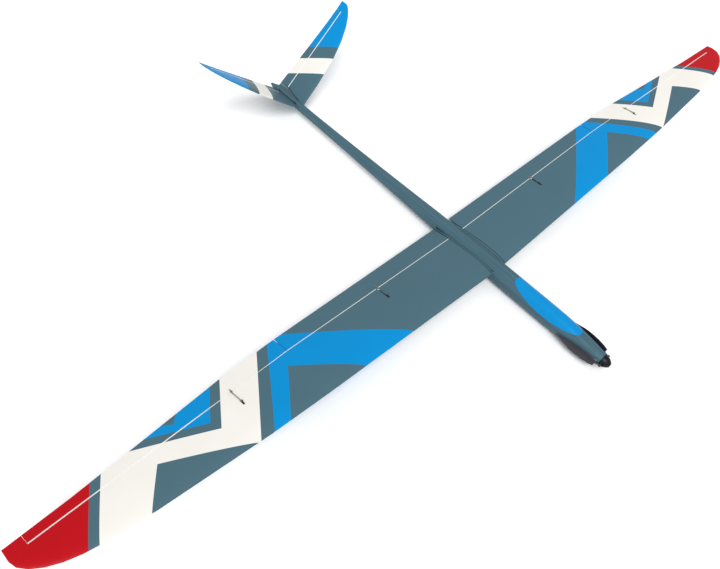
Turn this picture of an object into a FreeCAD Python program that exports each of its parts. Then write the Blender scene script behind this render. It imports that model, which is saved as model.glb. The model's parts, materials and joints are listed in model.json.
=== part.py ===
import FreeCAD, Part
import math
import os
import Sketcher

from FreeCAD import Placement, Rotation, Vector

# Electric sailplane of about 2.9 m span with flaps, ailerons, a V-tail and a folding propeller.
# Frame: +X to the aircraft's left wing tip, the nose toward -Y, +Z up, the belly on Z = 0.

doc = FreeCAD.newDocument("sailplane")
sheet = doc.addObject("Spreadsheet::Sheet", "sizes")

sizes = {
    # fuselage
    "nose_length": 155, "pod_length": 160, "shoulder_length": 340, "boom_length": 801,
    "tail_cone_length": 30, "nose_radius": 19.5, "pod_half_width": 31, "pod_half_height": 37,
    "pod_front_share": 0.975, "pod_back_share": 0.985,
    "boom_front_radius": 26, "boom_rear_radius": 12.8, "tail_tip_radius": 3.5, "shell_wall": 1.5,
    "belly_flat_depth": 0.8,
    "nose_station": -713.5,
    # canopy
    "canopy_length": 243, "canopy_width_share": 0.95, "canopy_front_inset": 86, "canopy_gap": 0.35,
    "canopy_lip_width": 5, "canopy_lip_thickness": 1.2, "canopy_lip_reach": 4,
    "magnet_radius": 4, "magnet_thickness": 2.4, "magnet_inset": 17,
    # motor and propeller
    "bulkhead_thickness": 3, "bulkhead_inset": 3, "motor_radius": 14, "motor_length": 42,
    "motor_screw_circle": 8, "shaft_radius": 2.5, "backplate_radius": 19, "backplate_thickness": 2,
    "backplate_gap": 1.2, "spinner_length": 25, "spinner_tip_radius": 6.2, "spinner_wall": 1.4,
    "yoke_width": 11, "yoke_depth": 8, "blade_pin_offset": 20.5, "blade_pin_radius": 1.5,
    "blade_length": 146, "blade_chord": 25, "blade_thickness": 2.6, "blade_stand_off": 0.9,
    "screw_radius": 1.3, "pin_fit": 0.06, "running_gap": 0.35,
    # equipment in the pod
    "tray_thickness": 3, "tray_width": 46, "tray_length": 222, "tray_drop": 15,
    "battery_length": 102, "battery_width": 34, "battery_height": 22,
    "tail_servo_length": 23, "tail_servo_width": 12, "tail_servo_height": 23, "tail_servo_stand": 12.6,
    "tail_servo_lug": 5, "tail_servo_spacing": 26, "tail_arm_length": 10.5,
    "receiver_length": 42, "receiver_width": 25, "receiver_height": 12,
    "controller_length": 48, "controller_width": 26, "controller_height": 9,
    "tail_rod_radius": 1.2, "tail_rod_travel": 4.65,
    # wing
    "root_offset": 33, "flap_span": 669, "inner_aileron_span": 181, "outer_aileron_span": 297,
    "tip_taper_span": 120, "tip_span": 152, "aileron_end_inset": 43,
    "root_chord": 235, "break_chord": 209.7, "mid_chord": 195.8, "outer_chord": 149.2,
    "tip_taper_chord": 124.9, "root_lead": -156, "break_lead": -156.5, "mid_lead": -154.5,
    "outer_lead": -142, "tip_taper_lead": -130.7, "tip_trail": -18.1, "tip_arc_depth": 68,
    "wing_slope": 0.092, "wing_incidence": 2.862, "wing_shift": -163.5, "wing_rise": 3,
    "wing_thickness_ratio": 0.085, "wing_camber": 0.02, "edge_share": 0.004,
    "flap_chord_root": 61.7, "flap_chord_break": 53, "aileron_chord_end": 26,
    "hinge_bead": 1, "surface_gap": 0.3, "lip_thickness": 0.9, "groove_width": 3.4,
    "end_gap": 0.6, "flap_down": 45, "flap_up": 12, "aileron_down": 20, "aileron_up": 20,
    # wing linkages
    "flap_horn_station": 330, "aileron_horn_station": 186, "rod_run": 38, "horn_height": 2.6,
    "horn_aft": 1.5, "plate_thickness": 2, "eye_radius": 2.2, "link_pin_radius": 0.75,
    "link_rod_radius": 0.8, "arm_hub_radius": 3, "wing_servo_thickness": 9.4,
    "wing_servo_length": 30, "wing_servo_width": 22, "wing_servo_rise": 4, "cover_thickness": 1,
    "cover_margin": 5,
    # wing joiner
    "joiner_width": 14, "joiner_height": 10, "joiner_reach": 170, "joiner_share": 0.33,
    "sleeve_wall": 1.5, "joiner_fit": 0.1, "locating_pin_radius": 2, "locating_pin_length": 24,
    # V-tail
    "tail_angle": 36.65, "tail_drop": 5.5, "tail_root": 24, "tail_span": 383, "tail_lead": 582.6,
    "tail_lead_slope": 0.118, "tail_trail": 716.7, "tail_trail_slope": 0.0413,
    "tail_sweep_start": 100, "tail_lead_sweep": 46, "tail_tip_depth": 47, "tail_trail_sweep": 6.6,
    "tail_thickness_ratio": 0.08, "ruddervator_chord_root": 37.7, "ruddervator_chord_end": 23.2,
    "ruddervator_end": 350, "tail_lip": 0.4, "ruddervator_travel": 25, "tail_horn_station": 28,
    "tail_horn_height": 11, "tail_joiner_radius": 2.5, "tail_joiner_reach": 75,
}

for row, (alias, value) in enumerate(sizes.items(), start=1):
    sheet.set(f"A{row}", alias)
    sheet.set(f"B{row}", str(value))
    sheet.setAlias(f"B{row}", alias)
doc.recompute()


def size(alias):
    return float(sheet.get(alias))


subParts = []


def register(feature, label):
    feature.Label = label
    subParts.append(feature)
    return feature


def shapeFeature(label, shape, placement=None):
    """A sub-part whose solid is made by Part functions from the sheet's sizes."""
    feature = doc.addObject("Part::Feature", label)
    feature.Shape = shape
    feature.Placement = placement or Placement()
    return register(feature, label)


def moved(shape, placement):
    """The shape with a placement worked into its geometry."""
    return shape.transformed(placement.toMatrix(), True)


def originPlane(body, role):
    return next(plane for plane in body.Origin.OriginFeatures if plane.Role == role)


def newSketch(body, role):
    sketch = body.newObject("Sketcher::SketchObject", body.Name + "_sketch")
    sketch.AttachmentSupport = [(originPlane(body, role), "")]
    sketch.MapMode = "FlatFace"
    return sketch


def addRectangle(sketch, width, height, centre=(0, 0)):
    """A centred rectangle with its width and height bound to two expressions."""
    left, right = centre[0] - 5, centre[0] + 5
    low, high = centre[1] - 5, centre[1] + 5
    corners = [Vector(left, low), Vector(right, low), Vector(right, high), Vector(left, high)]
    first = sketch.GeometryCount
    for index in range(4):
        sketch.addGeometry(Part.LineSegment(corners[index], corners[(index + 1) % 4]), False)
    for index in range(4):
        nextLine = first + (index + 1) % 4
        sketch.addConstraint(Sketcher.Constraint("Coincident", first + index, 2, nextLine, 1))
    for index in (0, 2):
        sketch.addConstraint(Sketcher.Constraint("Horizontal", first + index))
        sketch.addConstraint(Sketcher.Constraint("Vertical", first + index + 1))
    spans = [("DistanceX", width, "width"), ("DistanceY", height, "height")]
    for line, (kind, expression, name) in enumerate(spans):
        number = sketch.addConstraint(Sketcher.Constraint(kind, first + line, 1, first + line, 2, 10))
        sketch.renameConstraint(number, f"{name}{first}")
        sketch.setExpression(f"Constraints.{name}{first}", expression)
    if centre == (0, 0):
        sketch.addConstraint(Sketcher.Constraint("Symmetric", first, 1, first + 1, 2, -1, 1))
    return first


def addCircle(sketch, radius, across=None):
    """A circle with its radius bound, and its centre on the X axis at a bound distance."""
    number = sketch.addGeometry(Part.Circle(Vector(5 if across else 0, 0), Vector(0, 0, 1), 3), False)
    radiusRule = sketch.addConstraint(Sketcher.Constraint("Radius", number, 3))
    sketch.renameConstraint(radiusRule, f"radius{number}")
    sketch.setExpression(f"Constraints.radius{number}", radius)
    if across is None:
        sketch.addConstraint(Sketcher.Constraint("Coincident", number, 3, -1, 1))
        return
    sketch.addConstraint(Sketcher.Constraint("PointOnObject", number, 3, -1))
    acrossRule = sketch.addConstraint(Sketcher.Constraint("DistanceX", -1, 1, number, 3, 5))
    sketch.renameConstraint(acrossRule, f"across{number}")
    sketch.setExpression(f"Constraints.across{number}", across)


def pad(body, sketch, length, midplane=False, reverse=False):
    feature = body.newObject("PartDesign::Pad", body.Name + "_pad")
    feature.Profile = sketch
    feature.setExpression("Length", length)
    feature.Midplane = midplane
    feature.Reversed = reverse
    sketch.Visibility = False
    return feature


def throughPocket(body, sketch):
    """A pocket through the whole piece, both ways from its sketch."""
    feature = body.newObject("PartDesign::Pocket", body.Name + "_pocket")
    feature.Profile = sketch
    feature.Type = 1
    feature.Midplane = True
    return feature


def newBody(label):
    return register(doc.addObject("PartDesign::Body", label), label)


def boxBlock(label, length, width, height, corner, radius="0.8 mm"):
    """A padded block with its four upright edges rounded; corner is its placement's base."""
    body = newBody(label)
    sketch = newSketch(body, "XY_Plane")
    addRectangle(sketch, width, length)
    block = pad(body, sketch, height)
    doc.recompute()
    upright = []
    for number, edge in enumerate(block.Shape.Edges, start=1):
        if abs(edge.BoundBox.ZLength) > 1 and edge.BoundBox.XLength < 0.01 and edge.BoundBox.YLength < 0.01:
            upright.append(f"Edge{number}")
    fillet = body.newObject("PartDesign::Fillet", label + "_fillet")
    fillet.Base = (block, upright)
    fillet.setExpression("Radius", radius)
    body.Placement = Placement(corner, Rotation())
    return body



def box(x0, x1, y0, y1, z0, z1):
    return Part.makeBox(x1 - x0, y1 - y0, z1 - z0, Vector(x0, y0, z0))


def rod(start, end, radius):
    along = end - start
    return Part.makeCylinder(radius, along.Length, start, along)


def loft(wires, ruled=False):
    return Part.makeLoft(wires, True, ruled)


def closedWire(points):
    return Part.makePolygon(list(points) + [points[0]])


def sides(shape):
    """The left-hand shape and its mirror image on the right."""
    return {"left": shape, "right": shape.mirror(Vector(0, 0, 0), Vector(1, 0, 0))}


# Aerofoil sections: the upper and the lower skin are one curve of five poles each, from the leading
# edge aft. The poles' shares of the chord, and their heights for a thickness and a camber of one.
poleShares = (0, 0, 0.07, 0.255, 1)
thicknessPoles = (0, 0.241, 0.461, 0.857, 0)
camberPoles = (0, 0.044, 0.073, 2.335, 0)


def curveValue(values, step):
    """Value of the curve with these poles at a step from 0 to 1."""
    while len(values) > 1:
        values = [a + (b - a) * step for a, b in zip(values, values[1:])]
    return values[0]


def skinPoles(thickness, camber, side):
    """Pole heights of the upper (side = 1) or lower (side = -1) skin over a chord of one."""
    edge = size("edge_share") / 2
    return [camber * bend + side * (thickness * swell + edge * share)
            for share, swell, bend in zip(poleShares, thicknessPoles, camberPoles)]


def skinHeight(share, heights):
    """Height of a skin at a share of its chord."""
    low, high = 0.0, 1.0
    for _ in range(40):
        step = (low + high) / 2
        if curveValue(poleShares, step) < share:
            low = step
        else:
            high = step
    return curveValue(heights, step)


def skinCurve(heights, x, lead, chord, rise):
    curve = Part.BezierCurve()
    curve.setPoles([Vector(x, lead + share * chord, rise + height * chord)
                    for share, height in zip(poleShares, heights)])
    return curve


def sectionWire(upper, lower, *place):
    top = skinCurve(upper, *place)
    bottom = skinCurve(lower, *place)
    blunt = Part.LineSegment(top.EndPoint, bottom.EndPoint)
    return Part.Wire([top.toShape(), blunt.toShape(), bottom.toShape()])


def between(low, high, share):
    return low + (high - low) * share


def along(table, x):
    """Linear interpolation in a list of (x, value) pairs, held flat past its ends."""
    if x <= table[0][0]:
        return table[0][1]
    for (x0, v0), (x1, v1) in zip(table, table[1:]):
        if x <= x1:
            return between(v0, v1, (x - x0) / (x1 - x0))
    return table[-1][1]


# ---------------------------------------------------------------- wing outline
wingX = [size("root_offset")]
for span in ("flap_span", "inner_aileron_span", "outer_aileron_span", "tip_taper_span", "tip_span"):
    wingX.append(wingX[-1] + size(span))
rootX, breakX, midX, outerX, taperX, tipX = wingX
leads = [size(name) for name in ("root_lead", "break_lead", "mid_lead", "outer_lead", "tip_taper_lead")]
chords = [size(name) for name in ("root_chord", "break_chord", "mid_chord", "outer_chord", "tip_taper_chord")]
leadSlope = (leads[4] - leads[3]) / (taperX - outerX)
straightTipLead = leads[4] + leadSlope * (tipX - taperX)
leadTable = list(zip(wingX, leads + [straightTipLead]))
trailTable = list(zip(wingX, [lead + chord for lead, chord in zip(leads, chords)] + [size("tip_trail")]))


def wingLead(x):
    reach = max(0.0, (x - taperX) / (tipX - taperX))
    return along(leadTable, x) + size("tip_arc_depth") * (1 - math.sqrt(max(0.0, 1 - reach ** 2)))


def wingTrail(x):
    return along(trailTable, x)


def wingRise(x):
    return size("wing_slope") * x


upperSkinPoles = skinPoles(size("wing_thickness_ratio"), size("wing_camber"), 1)
lowerSkinPoles = skinPoles(size("wing_thickness_ratio"), size("wing_camber"), -1)


def wingSection(x):
    return sectionWire(upperSkinPoles, lowerSkinPoles, x, wingLead(x), wingTrail(x) - wingLead(x), wingRise(x))


def wingSkinHeight(x, y, side):
    """Height of the upper (side = 1) or lower (side = -1) skin above the wing datum."""
    chord = wingTrail(x) - wingLead(x)
    heights = upperSkinPoles if side > 0 else lowerSkinPoles
    return wingRise(x) + skinHeight((y - wingLead(x)) / chord, heights) * chord


tipSteps = 6
tipStations = [taperX + (tipX - taperX) * math.sin(math.pi / 2 * step / tipSteps)
               for step in range(1, tipSteps + 1)]
leftWing = loft([wingSection(x) for x in wingX[:5] + tipStations], ruled=True)
wingPlacement = Placement(
    Vector(0, size("wing_shift"), size("pod_half_height") + size("wing_rise")),
    Rotation(Vector(1, 0, 0), -size("wing_incidence")))


# ---------------------------------------------------------------- hinged surfaces
class HingeLine:
    """A straight hinge from an inboard point to an outboard point, with the nose radius at each.

    Its frame has X along the hinge outboard, Y aft and Z up from the skin.
    """

    def __init__(self, inner, outer, innerRadius, outerRadius):
        self.inner = inner
        self.length = (outer - inner).Length
        self.radii = (innerRadius, outerRadius)
        self.axis = (outer - inner).normalize()
        self.aft = Vector(0, 0, 1).cross(self.axis).normalize()
        self.up = self.axis.cross(self.aft)

    def point(self, x, y, z):
        return self.inner + self.axis * x + self.aft * y + self.up * z

    def radius(self, x):
        return between(self.radii[0], self.radii[1], x / self.length)

    def placement(self, x):
        rows = [self.axis, self.aft, self.up]
        base = self.point(x, 0, 0)
        matrix = FreeCAD.Matrix(
            rows[0].x, rows[1].x, rows[2].x, base.x,
            rows[0].y, rows[1].y, rows[2].y, base.y,
            rows[0].z, rows[1].z, rows[2].z, base.z,
            0, 0, 0, 1)
        return Placement(matrix)

    def place(self, shape, x):
        """Moves a shape made in the hinge's frame to the station x along it."""
        return moved(shape, self.placement(x))

    def arc(self, x, radius, first, last):
        """An arc edge about the hinge, angles in degrees from aft towards up."""
        angles = [math.radians(angle) for angle in (first, (first + last) / 2, last)]
        points = [self.point(x, radius * math.cos(a), radius * math.sin(a)) for a in angles]
        return Part.Arc(*points).toShape(), points[0], points[2]

    def profile(self, x, parts):
        """A closed wire from arcs (radius, first, last) and points (y, z) taken in order."""
        edges, last, first = [], None, None
        for part in parts:
            if len(part) == 3:
                edge, start, end = self.arc(x, *part)
            else:
                edge, start, end = None, self.point(x, *part), self.point(x, *part)
            if last is not None and last.distanceToPoint(start) > 1e-6:
                edges.append(Part.LineSegment(last, start).toShape())
            if edge:
                edges.append(edge)
            first = first or start
            last = end
        edges.append(Part.LineSegment(last, first).toShape())
        return Part.Wire(edges)

    def prism(self, start, end, partsAt):
        return loft([self.profile(start, partsAt(start)), self.profile(end, partsAt(end))], ruled=True)


far = 260
tall = 40
coveMargin = 12


def lowHingedSurface(solid, hinge, downAngle, upAngle, overrun, rootGap):
    """Splits a surface hinged at its lower skin off a wing solid; returns (surface, rest)."""
    bead = size("hinge_bead")
    gap = size("surface_gap")
    groove = size("groove_width")
    noseAngle = 90 + downAngle
    coveAngle = noseAngle + upAngle + coveMargin

    def noseRadius(x):
        return hinge.radius(x) - size("lip_thickness") - gap

    def movingParts(x):
        step = groove * hinge.radius(x) / hinge.radii[0]
        meet = math.degrees(math.acos(step / noseRadius(x)))
        return [(bead, -90, -90 - (270 - noseAngle)), (noseRadius(x), noseAngle, meet),
                (step, tall), (far, tall), (far, -tall), (0, -tall)]

    def coveParts(x):
        return [(bead + gap, -90, -90 - (270 - coveAngle)), (noseRadius(x) + gap, coveAngle, 90),
                (0, tall), (far, tall), (far, -tall), (0, -tall)]

    moving = solid.common(hinge.prism(rootGap, hinge.length - size("end_gap"), movingParts))
    rest = solid.cut(hinge.prism(-overrun[0], hinge.length + overrun[1], coveParts))
    return moving, rest


def midHingedSurface(solid, hinge, overrun):
    """Splits a surface hinged at its middle off a tail solid; returns (surface, rest)."""
    gap = size("surface_gap")
    step = 1.2

    def movingParts(x):
        nose = hinge.radius(x)
        meet = math.degrees(math.acos(min(0.9, step / nose)))
        shoulder = nose * math.cos(math.radians(meet))
        return [(nose, meet, 180), (nose, 180, 360 - meet), (shoulder, -tall), (far, -tall), (far, tall),
                (shoulder, tall)]

    def coveParts(x):
        nose = hinge.radius(x) + gap
        return [(nose, 120, 240), (-nose / 2, -tall), (far, -tall), (far, tall), (-nose / 2, tall)]

    endGap = size("end_gap")
    moving = solid.common(hinge.prism(endGap, hinge.length - endGap, movingParts))
    rest = solid.cut(hinge.prism(-overrun[0], hinge.length + overrun[1], coveParts))
    return moving, rest


def wingHinge(innerX, outerX, innerChord, outerChord):
    ends = []
    radii = []
    for x, chord in ((innerX, innerChord), (outerX, outerChord)):
        y = wingTrail(x) - chord
        z = wingSkinHeight(x, y, -1) + size("hinge_bead")
        ends.append(Vector(x, y, z))
        radii.append(wingSkinHeight(x, y, 1) - z)
    return HingeLine(ends[0], ends[1], radii[0], radii[1])


aileronEndX = tipX - size("aileron_end_inset")
flapHinge = wingHinge(rootX, breakX, size("flap_chord_root"), size("flap_chord_break"))
aileronHinge = wingHinge(breakX, aileronEndX, size("flap_chord_break"), size("aileron_chord_end"))
# The hinge climbs with the dihedral, so the flap's square end leans in over the fuselage at its top.
flapRise = abs(flapHinge.point(flapHinge.length, 0, 0).z - flapHinge.point(0, 0, 0).z) / flapHinge.length
flapRootGap = 2 * size("end_gap") + flapRise * flapHinge.radius(0)
flapAngles = (size("flap_down"), size("flap_up"))
aileronAngles = (size("aileron_down"), size("aileron_up"))
flapSolid, wingRest = lowHingedSurface(leftWing, flapHinge, *flapAngles, (5, 2), flapRootGap)
aileronSolid, _ = lowHingedSurface(leftWing, aileronHinge, *aileronAngles, (0, 0), size("end_gap"))
_, wingRest = lowHingedSurface(wingRest, aileronHinge, *aileronAngles, (0, 0), size("end_gap"))


# ---------------------------------------------------------------- wing linkages
def plateHull(x0, x1, centres):
    """A plate between x0 and x1 round two circles given as (y, z, radius)."""
    (y0, z0, r0), (y1, z1, r1) = centres
    gapAngle = math.acos((r0 - r1) / math.hypot(y1 - y0, z1 - z0))
    lean = math.atan2(z1 - z0, y1 - y0)
    corners = []
    for sign in (1, -1):
        angle = lean + sign * gapAngle
        corners.append(Vector(x0, y0 + r0 * math.cos(angle), z0 + r0 * math.sin(angle)))
        corners.append(Vector(x0, y1 + r1 * math.cos(angle), z1 + r1 * math.sin(angle)))
    flat = Part.Face(closedWire([corners[0], corners[1], corners[3], corners[2]]))
    plate = flat.extrude(Vector(x1 - x0, 0, 0))
    for y, z, r in centres:
        plate = plate.fuse(Part.makeCylinder(r, x1 - x0, Vector(x0, y, z), Vector(1, 0, 0)))
    return plate.removeSplitter()


def linkage(hinge, x, downAngle, upAngle):
    """Servo, arm, rod and horn of one surface in the hinge's frame, with the cuts that clear them.

    The arm and the horn are parallel and equal, so the rod keeps its direction as they turn.
    """
    gap = size("surface_gap")
    half = size("plate_thickness") / 2
    eye = size("eye_radius")
    pinRadius = size("link_pin_radius")
    run = size("rod_run")
    radius = hinge.radius(x)
    pinY, pinZ = size("horn_aft"), radius + size("horn_height")
    servoZ = size("wing_servo_rise")
    rodX = half + gap
    eyeThickness = size("plate_thickness")
    pinEnd = rodX + eyeThickness + gap
    hub = size("arm_hub_radius")

    baseZ = radius - 5
    outline = [Vector(-half, -1, baseZ), Vector(-half, 11, baseZ), Vector(-half, 11, radius + 0.2),
               Vector(-half, pinY + eye, pinZ), Vector(-half, pinY - eye, pinZ)]
    horn = Part.Face(closedWire(outline)).extrude(Vector(2 * half, 0, 0))
    horn = horn.fuse(Part.makeCylinder(eye, 2 * half, Vector(-half, pinY, pinZ), Vector(1, 0, 0)))
    horn = horn.fuse(Part.makeCylinder(pinRadius, pinEnd, Vector(0, pinY, pinZ), Vector(1, 0, 0)))

    armEnd = (pinY - run, servoZ + pinZ)
    arm = plateHull(-half, half, [(-run, servoZ, hub), (armEnd[0], armEnd[1], eye)])
    arm = arm.fuse(Part.makeCylinder(pinRadius, pinEnd, Vector(0, *armEnd), Vector(1, 0, 0)))

    middle = rodX + eyeThickness / 2
    start, end = Vector(middle, *armEnd), Vector(middle, pinY, pinZ)
    lean = (end - start).normalize()
    link = rod(start + lean * (eye - 0.3), end - lean * (eye - 0.3), size("link_rod_radius"))
    for centre in (start, end):
        ring = Part.makeCylinder(eye, eyeThickness, Vector(rodX, centre.y, centre.z), Vector(1, 0, 0))
        hole = Part.makeCylinder(pinRadius + size("pin_fit"), 10, Vector(-2, centre.y, centre.z), Vector(1, 0, 0))
        link = link.fuse(ring).cut(hole)

    thickness = size("wing_servo_thickness")
    width = size("wing_servo_width")
    length = size("wing_servo_length")
    shaftEnd = -half
    bodyEnd = shaftEnd - 0.8
    aftEdge = -run + 8
    case = box(bodyEnd - width, bodyEnd, aftEdge - length, aftEdge, servoZ - thickness / 2, servoZ + thickness / 2)
    servo = case.fuse(Part.makeCylinder(2.2, shaftEnd - bodyEnd + 1, Vector(bodyEnd - 1, -run, servoZ),
                                        Vector(1, 0, 0)))

    downTurn = math.radians(downAngle)
    lowest = pinZ * math.cos(downTurn) - pinY * math.sin(downTurn) - eye - gap
    closest = pinZ * math.cos(downTurn) - pinY * math.sin(downTurn) - size("link_rod_radius") - gap
    slotX0, slotX1 = -half - 0.6, pinEnd + 0.6
    reach = math.hypot(pinY, pinZ)
    hornDip = radius * math.cos(math.radians(upAngle)) - 1.5
    slot = box(slotX0, slotX1, -run + 2, 1, max(min(lowest, hornDip), 1.8), tall)
    well = box(slotX0, slotX1, -run - hub - 2.5 - reach * math.sin(math.radians(upAngle)),
               -run + eye + reach * math.sin(downTurn) + 1.5, servoZ - hub - gap, tall)
    room = 0.4
    pocket = box(bodyEnd - width - room, slotX1, aftEdge - length - room, aftEdge + room,
                 -tall, servoZ + thickness / 2 + room)
    margin = size("cover_margin")
    lid = box(bodyEnd - width - margin, slotX1 + margin, aftEdge - length - margin, aftEdge + margin, -tall, servoZ)
    notch = box(half, slotX1, -20, pinY + eye, 0, tall)
    notch = notch.cut(Part.makeCylinder(closest, 40, Vector(-20, 0, 0), Vector(1, 0, 0)))
    made = {"horn": horn, "arm": arm, "rod": link, "servo": servo, "lid": lid}
    cuts = {"wing": [slot, well, pocket], "surface": [notch, horn]}
    place = lambda shape: hinge.place(shape, x)
    pivots = {"arm": hinge.point(x, -run, servoZ), "rod": hinge.point(x, *armEnd)}
    return ({name: place(shape) for name, shape in made.items()},
            {name: [place(shape) for shape in shapes] for name, shapes in cuts.items()}, pivots)


coverRise = Vector(0, 0, size("cover_thickness"))
wingUpper = leftWing.copy()
wingUpper.translate(coverRise)
surfaces = {
    "flap": (flapHinge, size("flap_horn_station"), size("flap_down"), size("flap_up")),
    "aileron": (aileronHinge, size("aileron_horn_station"), size("aileron_down"), size("aileron_up")),
}
movingSolids = {"flap": flapSolid, "aileron": aileronSolid}
leftPieces = {}
pivotPoints = {}
for name, (hinge, station, downAngle, upAngle) in surfaces.items():
    made, cuts, pivots = linkage(hinge, station, downAngle, upAngle)
    pivotPoints[name] = pivots
    for cut in cuts["wing"]:
        wingRest = wingRest.cut(cut)
    for cut in cuts["surface"]:
        movingSolids[name] = movingSolids[name].cut(cut)
    lidBlock = made.pop("lid")
    wingRest = wingRest.cut(lidBlock.cut(wingUpper))
    leftPieces[f"{name}_servo_cover"] = leftWing.common(lidBlock).cut(wingUpper)
    leftPieces[name] = movingSolids[name]
    for kind, shape in made.items():
        leftPieces[f"{name}_{kind}"] = shape


# ---------------------------------------------------------------- wing joiner and pins
joinerY = size("root_lead") + size("joiner_share") * size("root_chord")
joinerMiddle = (wingSkinHeight(rootX, joinerY, 1) + wingSkinHeight(rootX, joinerY, -1)) / 2 - wingRise(rootX)


def joinerBar(reach, grow, innerX=0):
    """One arm of the joiner as a sheared block that follows the dihedral."""
    halfWidth = size("joiner_width") / 2 + grow
    halfHeight = size("joiner_height") / 2 + grow
    ends = []
    for x in (innerX, reach):
        z = wingRise(x) + joinerMiddle
        ends.append(closedWire([
            Vector(x, joinerY - halfWidth, z - halfHeight), Vector(x, joinerY + halfWidth, z - halfHeight),
            Vector(x, joinerY + halfWidth, z + halfHeight), Vector(x, joinerY - halfWidth, z + halfHeight)]))
    return loft(ends, ruled=True)


def bothSides(shape):
    pair = sides(shape)
    return pair["left"].fuse(pair["right"]).removeSplitter()


joiner = bothSides(joinerBar(size("joiner_reach"), 0))
sleeveHole = bothSides(joinerBar(rootX + 1, size("joiner_fit")))
sleeve = bothSides(joinerBar(rootX, size("joiner_fit") + size("sleeve_wall")))
pinHalf = size("locating_pin_length") / 2


def locatingPins(grow):
    pins = []
    for share in (0.12, 0.62):
        y = size("root_lead") + share * size("root_chord")
        z = (wingSkinHeight(rootX, y, 1) + wingSkinHeight(rootX, y, -1)) / 2
        pins.append(Part.makeCylinder(size("locating_pin_radius") + grow, 2 * (pinHalf + grow),
                                      Vector(rootX - pinHalf - grow, y, z), Vector(1, 0, 0)))
    return pins[0].fuse(pins[1])


wingRest = wingRest.cut(joinerBar(size("joiner_reach") + 1, size("joiner_fit")))
wingRest = wingRest.cut(locatingPins(size("joiner_fit")))
leftPieces["wing_panel"] = wingRest


# ---------------------------------------------------------------- V-tail
def tailShare(s):
    start = size("tail_sweep_start")
    return max(0.0, (s - start) / (size("tail_span") - start))


def tailLead(s):
    straight = size("tail_lead") + size("tail_lead_slope") * s
    tipArc = size("tail_tip_depth") * (1 - math.sqrt(max(0.0, 1 - tailShare(s) ** 4)))
    return straight + size("tail_lead_sweep") * tailShare(s) ** 2 + tipArc


def tailTrail(s):
    return size("tail_trail") + size("tail_trail_slope") * s + size("tail_trail_sweep") * tailShare(s) ** 5


tailUpper = skinPoles(size("tail_thickness_ratio"), 0, 1)
tailLower = skinPoles(size("tail_thickness_ratio"), 0, -1)


def tailSection(s):
    return sectionWire(tailUpper, tailLower, s, tailLead(s), tailTrail(s) - tailLead(s), 0)


def tailHalf(s, chordAft):
    chord = tailTrail(s) - tailLead(s)
    return skinHeight(1 - chordAft / chord, tailUpper) * chord


tailSpan = size("tail_span")
tailRoot = size("tail_root")
tailCurve = [tailSpan - (tailSpan - 200) * share for share in (0.62, 0.36, 0.19, 0.09, 0.03)]
leftTail = loft([tailSection(s) for s in [0, size("tail_sweep_start"), 200] + tailCurve + [tailSpan - 1]], ruled=True)
tailBase = Vector(0, 0, size("pod_half_height") - size("tail_drop"))
tailPlacements = {hand: Placement(tailBase, Rotation(Vector(0, 1, 0), turn * size("tail_angle")))
                  for hand, turn in (("left", -1), ("right", 1))}
tailPlacement = tailPlacements["left"]
ruddervatorX = (tailRoot + 0.5, size("ruddervator_end"))
ruddervatorChords = (size("ruddervator_chord_root"), size("ruddervator_chord_end"))
tailEnds = [Vector(s, tailTrail(s) - chord, 0) for s, chord in zip(ruddervatorX, ruddervatorChords)]
tailRadii = [tailHalf(s, chord) - size("tail_lip") for s, chord in zip(ruddervatorX, ruddervatorChords)]
tailHinge = HingeLine(tailEnds[0], tailEnds[1], tailRadii[0], tailRadii[1])
tailPanelBlank = leftTail.common(box(tailRoot, tailSpan + 50, 0, 2000, -200, 200))
ruddervator, tailPanel = midHingedSurface(tailPanelBlank, tailHinge, (3, 0))
ruddervator = ruddervator.common(box(tailRoot + size("end_gap"), tailSpan + 50, 0, 2000, -200, 200))
tailStub = leftTail.common(box(-1, tailRoot, 0, 2000, -200, 200))

tailHornX = size("tail_horn_station") - ruddervatorX[0]
tailPinZ = size("tail_horn_height")
plateHalf = size("plate_thickness") / 2
linkPin = size("link_pin_radius")
hornRadius = tailHinge.radius(tailHornX)
tailHorn = plateHull(-plateHalf, plateHalf, [(0, 0, hornRadius - 0.2), (0, tailPinZ, size("eye_radius"))])
tailHorn = tailHorn.cut(box(-5, 5, -20, 20, -20, 0))
# The swept hinge carries the pin sideways as it swings, so the rod's eye keeps that much more room.
tailSlant = (tailEnds[1].y - tailEnds[0].y) / (tailEnds[1].x - tailEnds[0].x)
travelAngle = math.radians(size("ruddervator_travel"))
eyeRoom = size("surface_gap") + tailPinZ * math.sin(travelAngle) * abs(tailSlant)
eyeStart = plateHalf + eyeRoom
tailPinEnd = eyeStart + size("plate_thickness") + eyeRoom
tailHorn = tailHorn.fuse(Part.makeCylinder(linkPin, tailPinEnd, Vector(0, 0, tailPinZ), Vector(1, 0, 0)))
tailHorn = tailHinge.place(tailHorn, tailHornX)
hornClear = tailHinge.place(box(-plateHalf - 0.6, tailPinEnd + 0.6, -hornRadius - 8, 1, 0.5, 20), tailHornX)
ruddervator = ruddervator.cut(tailHorn)
tailPanel = tailPanel.cut(hornClear)


# ---------------------------------------------------------------- fuselage
axisZ = size("pod_half_height")
noseY = size("nose_station")
podY = noseY + size("nose_length")
podEndY = podY + size("pod_length")
boomY = podEndY + size("shoulder_length")
boomEndY = boomY + size("boom_length") - size("tail_cone_length")
tailEndY = boomEndY + size("tail_cone_length")
podWidth, podHeight = size("pod_half_width"), size("pod_half_height")
boomFront, boomRear = size("boom_front_radius"), size("boom_rear_radius")
boomRearZ = axisZ - boomRear


ovalPull = 0.5523


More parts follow.
